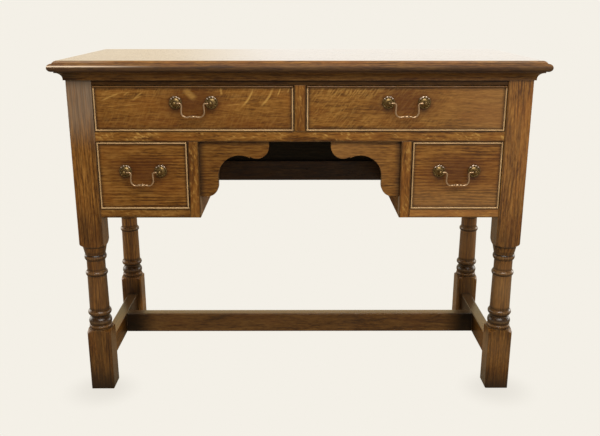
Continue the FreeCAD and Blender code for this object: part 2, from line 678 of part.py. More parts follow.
def post(x, z, inward):
    """One turned post: a domed rosette, a neck, a ball drilled for the bail, and a shank."""
    shank_end = DRAWER_INSIDE + NUT_THICKNESS + SHANK_TAIL
    rim = FACE - ROSETTE_EDGE
    rim_in = ROSETTE_RADIUS - ROSETTE_RIM
    dome_top = FACE - ROSETTE_DOME
    neck_end = PIVOT + math.sqrt(BALL_RADIUS ** 2 - POST_NECK_RADIUS ** 2)
    turn = Outline(lambda r, y: V(x + r, y, z), 0, shank_end).line(SHANK_RADIUS, shank_end)
    turn.line(SHANK_RADIUS, FACE).line(ROSETTE_RADIUS, FACE).line(ROSETTE_RADIUS, rim)
    turn.arc((ROSETTE_RADIUS - ROSETTE_RIM / 2, rim - ROSETTE_RIM / 2), (rim_in, rim))
    turn.arc(((rim_in + POST_NECK_RADIUS) / 2, FACE - ROSETTE_DOME_BULGE), (POST_NECK_RADIUS, dome_top))
    turn.line(POST_NECK_RADIUS, neck_end)
    turn.arc((BALL_RADIUS, PIVOT), (0, PIVOT - BALL_RADIUS))
    turned = turn.face().revolve(V(x, 0, z), V(0, 1, 0), 360)
    seat = V(x + inward * BAIL_SEAT, PIVOT, z)
    mouth = V(x + inward * (BALL_RADIUS + BAIL_SEAT), PIVOT, z)
    return turned.cut(cylinder(BAIL_RADIUS + BAIL_GAP, seat, mouth))


def nut(x, z):
    """A hexagon nut on the shank, against the back of the drawer front."""
    corner = NUT_ACROSS_FLATS / math.sqrt(3)
    angles = [math.radians(60 * i) for i in range(7)]
    ring_points = [V(x + corner * math.cos(a), DRAWER_INSIDE, z + corner * math.sin(a)) for a in angles]
    body = Part.Face(Part.makePolygon(ring_points)).extrude(V(0, NUT_THICKNESS, 0))
    bore = cylinder(SHANK_RADIUS + THREAD_GAP, V(x, DRAWER_INSIDE, z), V(x, DRAWER_INSIDE + NUT_THICKNESS, z))
    return body.cut(bore)


def rounded_path(points, radii):
    """Straight runs through the points, with a tangent arc at each inner one."""
    edges, here = [], points[0]
    for before, corner, after, radius in zip(points, points[1:], points[2:], radii):
        back, on = (before - corner).normalize(), (after - corner).normalize()
        half = math.acos(back.dot(on)) / 2
        reach = radius / math.tan(half)
        start, end = corner + back * reach, corner + on * reach
        middle = (back + on).normalize() * (radius / math.sin(half) - radius)
        edges.append(Part.makeLine(here, start))
        edges.append(Part.Arc(start, corner + middle, end).toShape())
        here = end
    edges.append(Part.makeLine(here, points[-1]))
    return Part.Wire(edges)


def bail(x, z):
    """The hanging loop: one bent rod that rises to its grip, with a bead and two collars turned on it."""
    tip = HANDLE_SPACING / 2 - BAIL_SEAT - BAIL_END_GAP
    neck = HANDLE_SPACING / 2 - BAIL_NECK_INSET
    grip_z = GRIP_RISE - BAIL_DROP
    half = [(tip, 0), (neck, 0), (neck + BAIL_FLARE, -BAIL_DROP), (BAIL_KNEE, grip_z)]
    route = [(-u, w) for u, w in half] + half[::-1]
    points = [V(x + u, PIVOT, z + w) for u, w in route]
    bends = (BAIL_NECK_BEND, BAIL_FOOT_BEND, BAIL_KNEE_BEND, BAIL_KNEE_BEND, BAIL_FOOT_BEND, BAIL_NECK_BEND)
    ends = Part.Wire(Part.Circle(points[0], V(1, 0, 0), BAIL_RADIUS).toShape())
    rod = rounded_path(points, bends).makePipeShell([ends], True, False)
    far = GRIP_BEAD_HALF + GRIP_COLLAR_WIDTH
    mid_collar = GRIP_BEAD_HALF + GRIP_COLLAR_WIDTH / 2
    root = BAIL_RADIUS
    collar = root + GRIP_COLLAR_PROUD
    grip = Outline(lambda u, r: V(x + u, PIVOT, z + grip_z + r), -far, 0).line(-far, root)
    grip.arc((-mid_collar, collar), (-GRIP_BEAD_HALF, root))
    grip.arc((0, root + GRIP_BEAD_PROUD), (GRIP_BEAD_HALF, root))
    grip.arc((mid_collar, collar), (far, root)).line(far, 0)
    turned = grip.face().revolve(V(x, PIVOT, z + grip_z), V(1, 0, 0), 360)
    return rod.fuse(turned)


def drawer(name, x, z, rise):
    """All the nodes of one drawer, with its bead and its handle."""
    pieces, bead, (mid_x, mid_z) = drawer_box(x, z, rise)
    nodes = {f"{name}_drawer_{piece}": shape for piece, shape in pieces.items()}
    nodes[f"{name}_cock_bead"] = bead
    left, right = post_places(mid_x)
    fittings = [post(left, mid_z, 1), post(right, mid_z, -1), nut(left, mid_z), nut(right, mid_z)]
    nodes[f"{name}_handle_posts"] = Part.makeCompound(fittings)
    nodes[f"{name}_handle_bail"] = bail(mid_x, mid_z)
    return nodes


# Assembly

def both_sides(name, shape):
    return {f"left_{name}": mirrored(shape), f"right_{name}": shape}


def carcass():
    """Every fixed piece, each cut for what is tenoned, tongued or screwed into it."""
    screws, holes = top_screws()
    uprights, divider_tenons = divider()
    post_shape, post_tenon = stile()
    floor_rail, floor_tenons = bottom_rail()
    bracket, bracket_tongue = apron()
    end_panel, end_tongues = side_panel()
    knee_panel, knee_tongues = kneehole_panel()
    side_bar, side_bar_tenons = side_stretcher()
    cross_bar, cross_tenons = cross_stretcher()
    board = back_panel()
    rails = {
        "top_rail": rail_between_legs(FACE, (UPPER_TOP, CASE_TOP)),
        "middle_rail": rail_between_legs(FACE, (LOWER_TOP, UPPER_FLOOR), SHELF_RAIL_DEPTH),
        "back_top_rail": rail_between_legs(BACK_RAIL[0], (UPPER_TOP, CASE_TOP)),
        "back_middle_rail": rail_between_legs(BACK_MIDDLE_RAIL[0], (LOWER_TOP, UPPER_FLOOR)),
        "back_bottom_rail": rail_between_legs(BACK_RAIL[0], (CASE_FLOOR, BACK_RAIL_TOP)),
    }
    cuts = {
        "top_rail": divider_tenons + holes,
        "middle_rail": divider_tenons + [post_tenon, bracket_tongue]
        + [mirrored(t) for t in (post_tenon, bracket_tongue)],
        "back_top_rail": [board] + holes,
        "back_middle_rail": [],
        "back_bottom_rail": [board] + knee_tongues + [mirrored(t) for t in knee_tongues],
    }
    nodes = {"top_board": top_board().cut(holes), "cove_moulding": Part.makeCompound(cove_mouldings())}
    for name, (rail, _) in rails.items():
        nodes[name] = rail.cut(cuts[name]) if cuts[name] else rail
    one_side = end_tongues + side_bar_tenons + floor_tenons[:1]
    mortises = [t for _, tenons in rails.values() for t in tenons] + [board]
    nodes.update(legs(mortises + one_side + [mirrored(t) for t in one_side]))
    nodes.update(both_sides("side_panel", end_panel))
    nodes.update(both_sides("stile", post_shape.cut(floor_tenons[1:] + knee_tongues)))
    nodes.update(both_sides("bottom_rail", floor_rail))
    nodes.update(both_sides("kneehole_panel", knee_panel))
    nodes.update(both_sides("apron", bracket))
    nodes.update(both_sides("stretcher", side_bar.cut(cross_tenons)))
    nodes.update(drawer_divider=uprights, back_panel=board, cross_stretcher=cross_bar,
                 drawer_runners=Part.makeCompound(runners()), top_screws=Part.makeCompound(screws))
    return nodes


def lowboy():
    nodes = carcass()
    wide, small = (DIVIDER_EDGE, LEG_IN), (STILE_OUT, LEG_IN)
    rows = (("upper", wide, (UPPER_FLOOR, UPPER_TOP), UPPER_HANDLE_RISE),
            ("lower", small, (LOWER_FLOOR, LOWER_TOP), LOWER_HANDLE_RISE))
    for level, x, z, rise in rows:
        nodes.update(drawer(f"{level}_left", (-x[1], -x[0]), z, rise))
        nodes.update(drawer(f"{level}_right", x, z, rise))
    return nodes


def main():
    os.makedirs("parts", exist_ok=True)
    for name, shape in lowboy().items():
        shape.exportStep(os.path.join("parts", f"{name}.step"))


main()
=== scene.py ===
import math

import bmesh
import bpy
from mathutils import Matrix, Vector


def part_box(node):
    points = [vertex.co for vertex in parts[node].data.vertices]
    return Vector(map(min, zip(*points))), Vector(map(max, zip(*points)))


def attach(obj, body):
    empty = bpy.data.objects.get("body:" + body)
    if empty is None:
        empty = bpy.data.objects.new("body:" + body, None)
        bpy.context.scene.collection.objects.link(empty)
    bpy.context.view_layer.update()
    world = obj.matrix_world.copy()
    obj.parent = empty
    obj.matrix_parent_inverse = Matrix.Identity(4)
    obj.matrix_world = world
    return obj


# Looks, light and camera for an oak lowboy on turned legs. Metres, in the frame of its solids:
# X to the right, Y to the back, Z up.

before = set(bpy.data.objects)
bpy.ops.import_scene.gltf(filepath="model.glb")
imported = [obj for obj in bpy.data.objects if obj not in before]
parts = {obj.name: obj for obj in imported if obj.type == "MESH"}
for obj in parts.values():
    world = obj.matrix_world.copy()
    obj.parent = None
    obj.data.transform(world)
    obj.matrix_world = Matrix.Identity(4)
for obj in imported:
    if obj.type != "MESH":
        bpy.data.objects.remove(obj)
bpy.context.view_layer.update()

DRAWERS = ("upper_left", "upper_right", "lower_left", "lower_right")

# Levels and places of the solids that the looks go by
TOP_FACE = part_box("top_board")[1].z
STRETCHER_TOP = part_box("cross_stretcher")[1].z
DRAWER_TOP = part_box("upper_left_drawer_front")[1].z
LEG_MIDDLE = sum(corner.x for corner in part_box("front_right_leg")) / 2


def tint(red, green, blue):
    """A colour from its display values, 0 to 255."""
    def linear(value):
        value /= 255
        return value / 12.92 if value <= 0.04045 else ((value + 0.055) / 1.055) ** 2.4
    return (linear(red), linear(green), linear(blue), 1.0)


def deepen(colours, amount):
    """The same colours, darker by one factor."""
    return [tuple(channel * amount for channel in colour[:3]) + (1.0,) for colour in colours]


# Colours of the wood and the brass, and of the painted shade, sheen and highlights laid on them
OAK = [tint(82, 48, 14), tint(130, 84, 30), tint(160, 112, 50)]
RAY_GOLD = tint(196, 150, 76)
RUBBED = tint(176, 138, 94)
CREST = tint(208, 170, 120)
NOSE_HIGHLIGHT = tint(246, 220, 190)
GRIME_AND_SHADE = tint(24, 16, 9)
RED_STAIN = tint(84, 42, 13)
BARE_OAK = [tint(120, 88, 52), tint(168, 132, 86), tint(192, 158, 110)]
SHADED_BOARD = [tint(26, 22, 13), tint(37, 31, 19), tint(47, 39, 24)]
POST_BRASS = tint(124, 100, 58)
BAIL_BRASS = tint(188, 156, 120)
BRASS_HIGHLIGHT = tint(240, 218, 204)
TARNISH = tint(58, 44, 24)
STEEL = tint(140, 138, 134)
CREAM = tint(244, 240, 231)
FLOOR_LIT = tint(160, 156, 148)
WARM_WHITE = tint(255, 250, 241)
TAN = tint(246, 231, 204)
HONEY = tint(240, 216, 158)
FLOOR_TAN = tint(222, 184, 128)
PAINTED_SHEEN_HAZE = tint(141, 122, 102)
PAINTED_SHADE_GREY = tint(52, 46, 40)
# A pale tan laid on as painted sheen and painted light
PAINTED_SHEEN_TAN = tint(176, 134, 86)
PAINTED_SHEEN_GREY = tint(188, 168, 144)
OLD_POLISH = tint(58, 33, 11)

# Light on the object and in its polish
AMBIENT, DIM = 0.36, 0.04
FLOOR_IN_POLISH, FLOOR_GLOW = 0.6, 0.55
LAMP_COLOUR = (1.0, 0.965, 0.91)

# Handles: between the posts, the rosette's edge, and the flattened beads on its rim
POST_SPAN, ROSETTE_EDGE = 0.076, 0.0012
BEADS, BEAD_CIRCLE, BEAD_RADIUS, BEAD_FLATNESS = 12, 0.0112, 0.0021, 0.6

# The painted highlights on a rosette's rim: their radius, their height over the handle, and how far they
# stand out
HIGHLIGHT_RADIUS, HIGHLIGHT_UP, HIGHLIGHT_OUT = (0.0095, 0.0103), (0.0035, 0.009), (0.0005, 0.001)

# The cock bead round a drawer: its width, the blur of its mitres, how deep below the drawer's top the upper
# strip is darkened as painted shade, and how high the lowest strip, lightened as painted light, reaches
BEAD_WIDTH, MITRE_BLUR = 0.0032, (0.0004, 0.0002)
TOP_STRIP = (0.007, 0.003)
LOW_STRIP, LOW_BLUR = 0.004, 0.001


class Value:
    """A number on a shader socket. Arithmetic on it adds Math nodes."""

    def __init__(self, nodes, socket):
        self.nodes = nodes
        self.socket = socket

    def math(self, operation, *terms):
        return self.nodes.add("ShaderNodeMath", {"operation": operation}, dict(enumerate(terms)))

    def __add__(self, other):
        return self.math("ADD", self, other)

    def __radd__(self, other):
        return self.math("ADD", other, self)

    def __sub__(self, other):
        return self.math("SUBTRACT", self, other)

    def __rsub__(self, other):
        return self.math("SUBTRACT", other, self)

    def __mul__(self, other):
        return self.math("MULTIPLY", self, other)

    def __rmul__(self, other):
        return self.math("MULTIPLY", other, self)

    def __truediv__(self, other):
        return self.math("DIVIDE", self, other)

    def __pow__(self, other):
        return self.math("POWER", self, other)

    def __abs__(self):
        return self.math("ABSOLUTE", self)

    def highest(self, other):
        return self.math("MAXIMUM", self, other)

    def cosine(self):
        return self.math("COSINE", self)

    def angle_from(self, other):
        return self.math("ARCTAN2", self, other)

    def step(self, low, high):
        """Runs smoothly from 0 at low to 1 at high."""
        return self.nodes.add("ShaderNodeMapRange", {"interpolation_type": "SMOOTHSTEP"},
                              {"Value": self, "From Min": low, "From Max": high})


class Nodes:
    """An empty shader tree, and the one method that adds a node to it."""

    def __init__(self, tree):
        tree.nodes.clear()
        self.tree = tree

    def add(self, kind, settings=None, sockets=None, output=0):
        """Settings first, then each socket's value or link. Gives the named output."""
        node = self.tree.nodes.new(kind)
        for name, setting in (settings or {}).items():
            if name == "stops":
                self.set_stops(node.color_ramp.elements, setting)
            else:
                setattr(node, name, setting)
        for name, value in (sockets or {}).items():
            if isinstance(value, Value):
                self.tree.links.new(value.socket, node.inputs[name])
            else:
                node.inputs[name].default_value = value
        return Value(self, node.outputs[output]) if node.outputs else None

    @staticmethod
    def set_stops(elements, stops):
        while len(elements) < len(stops):
            elements.new(1.0)
        for element, (position, colour) in zip(elements, stops):
            element.position = position
            element.color = colour

    def split(self, vector):
        return [self.add("ShaderNodeSeparateXYZ", None, {0: vector}, axis) for axis in "XYZ"]

    def place(self):
        """The point on the piece, as three numbers in the frame of the solids at rest."""
        return self.split(self.add("ShaderNodeTexCoord", output="Object"))

    def vector(self, x, y, z):
        return self.add("ShaderNodeCombineXYZ", None, {"X": x, "Y": y, "Z": z})

    def noise(self, point, detail=2.0, roughness=0.5):
        return self.add("ShaderNodeTexNoise", None,
                        {"Vector": point, "Scale": 1.0, "Detail": detail, "Roughness": roughness}, "Fac")

    def cloud(self, count, roughness=0.5):
        """Even noise over the piece, so many features to the metre."""
        x, y, z = self.place()
        return self.noise(self.vector(x * count, y * count, z * count), 3.0, roughness)

    def blend(self, amount, first, second):
        return self.add("ShaderNodeMix", {"data_type": "RGBA"}, {0: amount, 6: first, 7: second}, 2)

    def mix_shaders(self, amount, first, second):
        return self.add("ShaderNodeMixShader", None, {0: amount, 1: first, 2: second})

    def ramp(self, value, stops):
        return self.add("ShaderNodeValToRGB", {"stops": stops}, {"Fac": value}, "Color")

    def bump(self, height, strength, distance):
        return self.add("ShaderNodeBump", None,
                        {"Strength": strength, "Distance": distance, "Height": height})

    def corners(self, radius):
        """1 along the sharp edges of a piece, and 0 on its open faces."""
        rounded = self.add("ShaderNodeBevel", {"samples": 6}, {"Radius": radius})
        flat = self.add("ShaderNodeNewGeometry", output="Normal")
        facing = self.add("ShaderNodeVectorMath", {"operation": "DOT_PRODUCT"},
                          {0: rounded, 1: flat}, "Value")
        return (1.0 - facing).step(0.01, 0.22)

    def recesses(self, reach, own_only):
        """1 deep in corners and grooves, and 0 in the open."""
        light = self.add("ShaderNodeAmbientOcclusion", {"samples": 6, "only_local": own_only},
                         {"Distance": reach}, "AO")
        return (1.0 - light).step(0.12, 0.85)


def finish(name):
    """A new material with an empty tree."""
    material = bpy.data.materials.new(name)
    material.use_nodes = True
    return material, Nodes(material.node_tree)


def surface(nodes, **sockets):
    """Closes a material with one Principled shader. Words in a socket's name are split by _."""
    named = {name.replace("_", " "): value for name, value in sockets.items()}
    shader = nodes.add("ShaderNodeBsdfPrincipled", None, named)
    nodes.add("ShaderNodeOutputMaterial", None, {"Surface": shader})


def dress(name, material):
    """Puts a material on one of the solids."""
    parts[name].material_slots[0].material = material


# Oak

# Where the heart of the tree lies from the middle of a board, across it and into it, and the ring width
FLAT_SAWN, RIFT_SAWN, QUARTER_SAWN = (0.02, 0.14, 0.0052), (0.08, 0.06, 0.0046), (0.16, 0.03, 0.0064)

# How far the rings wander, widely and finely, where the grain turns from dark to light, and its redder oak
WANDER, RIPPLE = 0.012, 0.014
GRAIN_STOPS = (0.38, 0.49, 0.615)
REDDER = (1.04, 0.82, 0.7)


class Wood:
    """The figure of one oak board, from its own coordinates along, across and into it."""

    def __init__(self, nodes, along, across, deep, sawn=FLAT_SAWN):
        self.nodes = nodes
        self.along, self.across, self.deep = along, across, deep
        heart_across, heart_deep, ring_width = sawn
        off_across = across - heart_across
        off_deep = deep - heart_deep
        radius = (off_across * off_across + off_deep * off_deep) ** 0.5
        radius = radius + self.figure(2.4, 9.0) * WANDER + self.figure(6.0, 55.0) * RIPPLE
        rings = 0.5 + 0.5 * (radius * (2.0 * math.pi / ring_width)).cosine()
        clear = self.figure(6.0, 26.0).step(0.3, 0.66)
        self.early = rings ** 1.5 * (0.15 + 1.1 * clear)
        self.fibre = self.figure(70.0, 480.0, roughness=0.6)
        self.lines = self.figure(24.0, 230.0, roughness=0.6)
        self.warmth = self.figure(8.0, 24.0)
        self.streak = self.figure(7.0, 75.0, roughness=0.6)
        self.mottle = self.figure(18.0, 36.0, 3.0, 0.55)
        dashes = self.figure(75.0, 1150.0, 1.0)
        self.pores = dashes.step(0.54, 0.7) * (0.35 + 0.65 * self.early)

    def figure(self, along, across, detail=2.0, roughness=0.5):
        """Noise with so many features to the metre along the grain and across it."""
        point = self.nodes.vector(self.along * along, self.across * across, self.deep * across)
        return self.nodes.noise(point, detail, roughness)

    def colour(self, oak, rings):
        """The board's colour between its dark, middle and light oak, with so much of the rings in it."""
        dark, middle = oak[:2]
        grain = 0.4 * self.fibre + 0.34 * self.lines + 0.1 * self.streak + 0.16 * self.mottle
        tone = grain + rings * (0.24 - self.early)
        base = self.nodes.ramp(tone, list(zip(GRAIN_STOPS, oak)))
        red_oak = tuple(channel * factor for channel, factor in zip(middle, REDDER)) + (1.0,)
        base = self.nodes.blend(0.3 * self.warmth.step(0.46, 0.64), base, red_oak)
        return self.nodes.blend(0.6 * self.pores, base, dark)


class Look:
    """What a board shows so far. The marks on it change this before its shader is closed."""

    def __init__(self, nodes, colour, roughness):
        self.nodes = nodes
        self.colour, self.roughness, self.coat = colour, roughness, 0.0

    def cover(self, amount, colour):
        """Lays another colour over the board."""
        self.colour = self.nodes.blend(amount, self.colour, colour)


def oak_finish(name, grain, shift, oak, extras=(), sawn=FLAT_SAWN, rings=0.08, worn=0.5, dirty=0.8,
               reach=0.03, gloss=0.24, polish=0.3, coat_bend=1.5, coat_gloss=0.06, edge=0.0016):
    """Polished oak. grain names the axes along, across and into the board."""
    material, nodes = finish(name)
    axes = dict(zip("xyz", nodes.place()))
    wood = Wood(nodes, *[axes[axis] + offset for axis, offset in zip(grain, shift)], sawn)
    look = Look(nodes, wood.colour(oak, rings), gloss + 0.12 * wood.pores + 0.1 * wood.mottle)
    for extra in extras:
        extra(nodes, axes, wood, look)
    # Dirt and painted shade: darker in corners and recesses, also where other parts come near
    dirt = nodes.recesses(reach, False) * (0.6 + 0.6 * wood.mottle) * dirty
    look.cover(dirt, GRIME_AND_SHADE)
    patches = wood.figure(30.0, 30.0, 3.0)
    look.cover(nodes.corners(edge) * patches.step(0.3, 0.62) * worn, RUBBED)
    normal = nodes.bump(0.4 * wood.fibre - 0.35 * wood.early - wood.pores, 0.2, 0.0006)
    surface(nodes, Base_Color=look.colour, Roughness=look.roughness + 0.3 * dirt, Normal=normal,
            Specular_IOR_Level=polish, Coat_Weight=look.coat, Coat_Roughness=coat_gloss,
            Coat_IOR=coat_bend)
    return material


# What single boards show on top of the common oak

# How near to a face counts as the face: under the top of a bar, and behind the front of a board
TOP_SKIN = (0.0012, 0.0004)
FRONT_SKIN, FRONT_BLUR = 0.001, 0.0006

# The painted shade on the sides of a turned leg: how far from its middle it begins, and how far up and down
# it fades
SIDE_START, SIDE_FADE = (0.011, 0.025), 0.01


def ray_strokes(marks):
    """Pale ray flecks drawn one by one: from, to, width, bow and strength of each."""
    def add(nodes, axes, wood, look):
        fleck = 0.0
        for (x0, z0), (x1, z1), width, bow, share in marks:
            dx, dz = x1 - x0, z1 - z0
            length = math.hypot(dx, dz)
            right, up = axes["x"] - x0, axes["z"] - z0
            run = (right * dx + up * dz) / length ** 2
            side = (up * dx - right * dz) / length - run * (1.0 - run) * (4.0 * bow)
            line = 1.0 - (abs(side) / (0.5 * width)).step(0.2, 1.0)
            mark = line * run.step(0.0, 0.3) * (1.0 - run).step(0.0, 0.4)
            fleck = (mark * share).highest(fleck)
        fleck = fleck * (0.25 + 1.3 * wood.fibre)
        look.cover(fleck, RAY_GOLD)
    return add


def ray_rain(lean, fine, long, share, span, top):
    """Many fine ray flecks that lean to the right as they rise, strongest at the top."""
    def add(nodes, axes, wood, look):
        across = axes["x"] - lean * axes["z"]
        wobble = nodes.noise(nodes.vector(axes["x"] * 30.0, 3.0, axes["z"] * 30.0), 2.0)
        point = nodes.vector((across + 0.01 * wobble) / fine, 0.5, axes["z"] / long)
        strokes = nodes.noise(point, 2.0, 0.6)
        where = nodes.noise(nodes.vector(axes["x"] * 16.0, 7.0, axes["z"] * 22.0), 2.0)
        inside = (axes["x"] - span[0]).step(0.0, 0.03) * (1.0 - (axes["x"] - span[1]).step(-0.16, 0.0))
        high = 0.55 + 0.45 * (axes["z"] - top).step(-0.04, -0.005)
        fleck = strokes.step(0.44, 0.64) * where.step(0.2, 0.55) * inside * high * share
        look.cover(fleck, RAY_GOLD)
    return add


def flakes(share):
    """Short pale flecks all over a rail or a stile."""
    def add(nodes, axes, wood, look):
        marks = nodes.noise(nodes.vector(wood.along * 85.0, wood.across * 190.0 + wood.along * 60.0,
                                         wood.deep * 60.0), 2.0, 0.6)
        fleck = marks.step(0.52, 0.68) * wood.mottle.step(0.4, 0.6) * share
        look.cover(fleck, RAY_GOLD)
    return add


def blotch(x, z, width, height, amount, colour):
    """A soft patch of another colour on an upright face."""
    def add(nodes, axes, wood, look):
        right = (axes["x"] - x) / width
        up = (axes["z"] - z) / height
        away = (right * right + up * up) ** 0.5
        patch = (1.0 - away.step(0.2, 1.0)) * (0.5 + 0.7 * wood.mottle) * amount
        look.cover(patch, colour)
    return add


def graded_cover(axis, start, end, amount, colour=GRIME_AND_SHADE):
    """Another colour laid on more and more from start to end along one axis, for stains, darkening, painted
    shade and painted sheen alike.
    """
    def add(nodes, axes, wood, look):
        depth = axes[axis].step(start, end) * (0.75 + 0.5 * wood.mottle) * amount
        look.cover(depth, colour)
    return add


def painted_sheen(amount):
    """A painted sheen: a pale haze over the whole of a board, standing in for reflected light."""
    def add(nodes, axes, wood, look):
        look.cover((0.7 + 0.6 * wood.mottle) * amount, PAINTED_SHEEN_HAZE)
    return add


def fine_streaks(wood, count):
    """Thin broken lines along the grain, 0 to 1, so many to the metre across it."""
    return wood.figure(11.0, count, roughness=0.6).step(0.36, 0.66)


def dark_streaks(amount):
    """Open grain that has filled with old polish."""
    def add(nodes, axes, wood, look):
        depth = fine_streaks(wood, 310.0) * (0.3 + 1.2 * wood.mottle) * amount
        look.cover(depth, OLD_POLISH)
    return add


def leg_sheen(start, end, amount):
    """A painted sheen up a leg, thinner where its grain is open."""
    def add(nodes, axes, wood, look):
        depth = axes["z"].step(start, end) * (1.1 - 0.5 * fine_streaks(wood, 520.0)) * amount
        look.cover(depth, PAINTED_SHEEN_HAZE)
    return add


def glossy_top(level, shine, front=-1.0, back=-0.9):
    """The upper face of a bar keeps the polish that its sides have lost, less so towards its front, and is
    made paler by a painted sheen.
    """
    def add(nodes, axes, wood, look):
        top = axes["z"].step(*[level - depth for depth in TOP_SKIN])
        top = top * (0.4 + 0.6 * axes["y"].step(front, back))
        look.coat = shine * top
        look.cover(0.12 * top, PAINTED_SHEEN_TAN)
    return add


def bands(axis, marks, colour):
    """Bands across an axis: the middle, the reach each way and the strength of each."""
    def add(nodes, axes, wood, look):
        depth = 0.0
        for middle, reach, amount in marks:
            depth = ((1.0 - abs(axes[axis] - middle).step(0.0, reach)) * amount).highest(depth)
        look.cover(depth * (0.7 + 0.6 * wood.mottle), colour)
    return add


def joint_dirt_and_shade(axis, places, joint, front):
    """Dirt and painted shade in the front face of a board along the joints that cross an axis."""
    reach, amount = joint

    def add(nodes, axes, wood, look):
        on_face = (front + FRONT_SKIN - axes["y"]).step(0.0, FRONT_BLUR)
        for place in places:
            depth = (1.0 - abs(axes[axis] - place).step(0.0, reach)) * on_face * amount
            look.cover(depth * (0.6 + 0.8 * wood.mottle), GRIME_AND_SHADE)
    return add


def shaded_sides(x, low, high, amount):
    """Painted shade on the sides of a turned leg, deeper away from its middle."""
    def add(nodes, axes, wood, look):
        side = abs(axes["x"] - x).step(*SIDE_START) * axes["z"].step(low, low + SIDE_FADE)
        side = side * (1.0 - axes["z"].step(high - SIDE_FADE, high)) * (0.6 + 0.8 * wood.mottle) * amount
        look.cover(side, GRIME_AND_SHADE)
    return add


def blackened_ends(start, end, amount):
    """Darkening to black at both ends of a level bar."""
    def add(nodes, axes, wood, look):
        depth = abs(axes["x"]).step(start, end) * (0.75 + 0.5 * wood.mottle) * amount
        look.cover(depth, GRIME_AND_SHADE)
    return add


# The moulded edge of the top, as depths below its face: where it begins, the painted shade under its step,
# the crest of its nose and how far the painted highlight on it reaches, the painted shade deepening under
# the nose, and the painted sheen above the step
TOP_EDGE, STEP_SHADE = (0.0001, 0.0006), (0.0048, 0.0058)
NOSE_CREST, CREST_REACH = 0.0109, (0.0003, 0.0023)
NOSE_SHADE, SHEEN_ABOVE_STEP = (0.008, 0.0135), (0.005, 0.0035)

# Along the top: where its gloss rises to full, where the painted highlight along the nose fades out, and
# where the painted sheen of the left end fades out and that of the right end comes in
GLOSS_RISE, HIGHLIGHT_END = (-0.42, -0.05), (-0.48, -0.27)
SHEEN_LEFT, SHEEN_RIGHT = (-0.44, -0.36), (0.1, 0.4)


def moulded_edge(nodes, axes, wood, look):
    """The moulded edge of the top has lost the gloss of its face, with painted shade under its step, a
    painted highlight along its nose and painted sheen at its ends.
    """
    x = axes["x"]
    depth = TOP_FACE - axes["z"]
    edge = depth.step(*TOP_EDGE)
    look.roughness = look.roughness + 0.6 * edge
    look.coat = (1.0 - edge) * (0.7 + 0.3 * x.step(*GLOSS_RISE))
    # Painted shade under the step
    look.cover(0.3 * depth.step(*STEP_SHADE), GRIME_AND_SHADE)
    # A painted highlight along the crest of the nose, brightest at the left end
    crest = 1.0 - abs(depth - NOSE_CREST).step(*CREST_REACH)
    patches = nodes.noise(nodes.vector(x * 7.0, axes["y"] * 7.0, 2.0), 2.0)
    look.cover(crest * 0.15 * patches.step(0.4, 0.66), PAINTED_SHEEN_TAN)
    look.cover(crest * 0.9 * (1.0 - x.step(*HIGHLIGHT_END)), NOSE_HIGHLIGHT)
    # A painted sheen over the edge above its step, at both ends of the top
    ends = 0.25 * (1.0 - x.step(*SHEEN_LEFT)) + 0.14 * x.step(*SHEEN_RIGHT)
    look.cover(edge * depth.step(*SHEEN_ABOVE_STEP) * ends, PAINTED_SHEEN_GREY)


# Axes along, across and into a board, by the way it lies
LEVEL, UPRIGHT, INWARD, FLAT = "xzy", "zxy", "yzx", "xyz"

# A board's figure starts at one of so many places along the tree, so far apart
FIGURE_PLACES, FIGURE_STEP = 97, 0.37


def dress_board(name, grain, oak, **options):
    """Oak for one board, with a figure of its own that its name picks."""
    low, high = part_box(name)
    middle = dict(zip("xyz", (low + high) / 2))
    own = FIGURE_STEP * (sum(name.encode()) % FIGURE_PLACES)
    shift = [own - middle[grain[0]], -middle[grain[1]], -middle[grain[2]]]
    dress(name, oak_finish(f"oak_{name}", grain, shift, oak, **options))


# Dirt and painted shade along joints: how far it reaches to each side, and how strong it is; by an apron it
# is the painted shadow of its stile
RAIL_JOINT, LEG_JOINT = (0.005, 0.75), (0.009, 0.45)
APRON_JOINT, BEAD_JOINT = (0.016, 0.6), (0.008, 0.55)


def joint_edges(name, axis):
    """Dirt and painted shade along both edges of a rail or a stile."""
    low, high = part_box(name)
    return joint_dirt_and_shade(axis, [getattr(low, axis), getattr(high, axis)], RAIL_JOINT, low.y)


def handle_place(name):
    """The middle of a drawer's handle, to the right and up."""
    low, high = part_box(f"{name}_handle_posts")
    return (low.x + high.x) / 2, (low.z + high.z) / 2


# Carcass

# How light the oak of each side is beside the common oak; partly painted light: the right rail and apron,
# the rear legs and the kneehole walls are lighter to stand in for light that falls or reflects on them
STILE_SHADE = {"left": 0.94, "right": 1.06}
RAIL_SHADE = {"left": 0.88, "right": 1.4}
APRON_SHADE = {"left": 0.74, "right": 0.93}
WALL_SHADE = {"left": 2.2, "right": 1.15}
LEG_SHADE = {("front", "left"): 1.22, ("front", "right"): 1.2,
             ("rear", "left"): 2.6, ("rear", "right"): 1.5}

# Polish and painted sheen on the walls of the kneehole, and the shine of the side stretchers' upper faces
WALL_POLISH = {"left": 0.3, "right": 0.02}
WALL_SHEEN = {"left": 0.5, "right": 0.2}
TOP_SHINE = {"left": 0.8, "right": 1.0}

# Marks that differ from side to side: painted sheen on the right rail and apron, and painted shade low on
# the legs, deeper on the left
RAIL_SHEEN = {"left": [], "right": [graded_cover("x", 0.2, 0.26, 0.22, PAINTED_SHEEN_TAN)]}
APRON_SHEEN = {"left": [], "right": [graded_cover("x", 0.24, 0.1, 0.16, PAINTED_SHEEN_TAN)]}
LOW_LEG_SHADE = {"left": 0.36, "right": 0.02}

# Dirt and painted shade on a rear leg by the end of the stretcher: how far in from the leg's middle, how
# high, its half width and half height, and its strength on each side
REAR_IN, REAR_UP, REAR_HALVES = 0.006, 0.114, (0.045, 0.062)
REAR_DIRT_AND_SHADE = {"left": 0.9, "right": 0.55}

